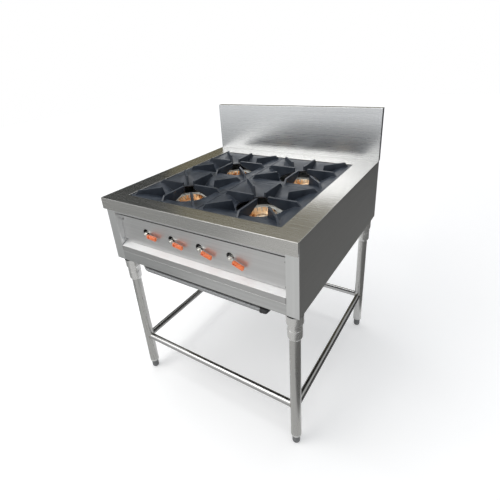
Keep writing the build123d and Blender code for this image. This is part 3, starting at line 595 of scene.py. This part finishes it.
# Dipped grips: each is modelled level at the origin, then turned and set on its own lever
grip = {
    "start": 16 * mm,  # from the lever's pivot
    "length": 42 * mm,
    "thickness": 11 * mm,
    "height": 15 * mm,
    "longRound": (3.6 * mm, 5),  # radius and segments
    "tipRound": (3.2 * mm, 4),
    "heelRound": (1.4 * mm, 3),
    "slotEnds": (20 * mm, 34 * mm),
    "slotWall": 0.8 * mm,
    "slotDepth": 7.0 * mm,
    "edge": 0.3 * mm,
    "sharpFrom": 40,
}


def modelGrip(g):
    bpy.ops.object.select_all(action="DESELECT")
    middle = g["start"] + g["length"] / 2
    bpy.ops.mesh.primitive_cube_add(size=1, location=(middle, 0, 0))
    piece = bpy.context.object
    piece.scale = (g["length"], g["thickness"], g["height"])
    settle(piece)
    bpy.ops.object.mode_set(mode="EDIT")
    pickEdges(piece, lambda a, b: abs(a.x - b.x) > g["length"] / 2)
    width, segments = g["longRound"]
    bpy.ops.mesh.bevel(offset=width, segments=segments, affect="EDGES")
    for side, (width, segments) in ((1, g["tipRound"]), (-1, g["heelRound"])):
        pickFaces(piece, lambda centre, normal: normal.x * side > 0.9)
        bpy.ops.mesh.region_to_loop()
        bpy.ops.mesh.bevel(offset=width, segments=segments, affect="EDGES")
    for x in g["slotEnds"]:
        bpy.ops.mesh.select_all(action="SELECT")
        bpy.ops.mesh.bisect(plane_co=(x, 0, 0), plane_no=(1, 0, 0))
    low, high = g["slotEnds"]
    pickFaces(piece, lambda centre, normal: normal.y < -0.99 and low < centre.x < high)
    bpy.ops.mesh.inset(thickness=g["slotWall"])
    bpy.ops.mesh.extrude_region_move(TRANSFORM_OT_translate={"value": (0, g["slotDepth"], 0)})
    bpy.ops.mesh.select_all(action="SELECT")
    bpy.ops.mesh.normals_make_consistent(inside=False)
    bpy.ops.object.mode_set(mode="OBJECT")
    bevelEdges(piece, g["edge"], g["sharpFrom"], g["sharpFrom"])
    return piece


firstGrip = modelGrip(grip)
turns = {joint["name"]: joint for joint in frame["joints"]}
for number in range(1, 5):
    node = "lever_grip_%d" % number
    turn = turns["lever_%d_turn" % number]
    low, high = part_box(node)
    piece = firstGrip.copy()
    piece.data = firstGrip.data.copy()
    piece.name = node + ".dipped"
    bpy.context.scene.collection.objects.link(piece)
    piece.location = (turn["pos_m"][0], (low.y + high.y) / 2, turn["pos_m"][2])
    piece.rotation_euler = (0, math.radians(-turn["range_deg"][0]), 0)
    settle(piece)
    wear(piece, "gripVinyl", [node], nodes[node]["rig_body"])
bpy.data.objects.remove(firstGrip)
print("stage: grips are on their levers")


# Weld beads where the stretchers meet the legs: a ring that follows the leg's round
bead = {"thick": 2.0 * mm, "around": 40, "across": 8, "ripple": 0.35 * mm, "seed": 3,
        "smoothing": 0.3, "widestShare": 0.98}  # the share of the leg's radius it may reach


def modelBead(b, tubeRadius, legRadius):
    bpy.ops.object.select_all(action="DESELECT")
    bpy.ops.mesh.primitive_torus_add(major_radius=tubeRadius, minor_radius=b["thick"],
                                     major_segments=b["around"], minor_segments=b["across"],
                                     rotation=(0, math.pi / 2, 0))
    piece = bpy.context.object
    settle(piece)
    bpy.ops.object.mode_set(mode="EDIT")
    bpy.ops.mesh.select_all(action="SELECT")
    bpy.ops.transform.vertex_random(offset=b["ripple"], seed=b["seed"])
    bpy.ops.mesh.vertices_smooth(factor=b["smoothing"])
    bpy.ops.object.mode_set(mode="OBJECT")
    for point in piece.data.vertices:
        reach = min(abs(point.co.y), legRadius * b["widestShare"])
        point.co.x += math.sqrt(legRadius ** 2 - reach ** 2)
    bpy.ops.object.shade_smooth()
    return piece


def centreOf(node):
    low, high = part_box(node)
    return (low + high) / 2, (high - low) / 2


firstBead = modelBead(bead, centreOf("stretcher_front")[1].z, centreOf("leg_front_left")[1].x)
beadHeight = centreOf("stretcher_front")[0].z
beads = []
for corner in corners:
    across = 0 if corner.endswith("left") else 180
    along = 90 if corner.startswith("front") else 270
    for angle in (across, along):
        piece = firstBead.copy()
        piece.data = firstBead.data.copy()
        bpy.context.scene.collection.objects.link(piece)
        leg = centreOf("leg_" + corner)[0]
        piece.location = (leg.x, leg.y, beadHeight)
        piece.rotation_euler = (0, 0, math.radians(angle))
        settle(piece)
        beads.append(piece)
bpy.data.objects.remove(firstBead)
wear(joined(beads, "weldBeads"), "weldMetal", [], "range_frame")
print("stage: weld beads are on the legs")
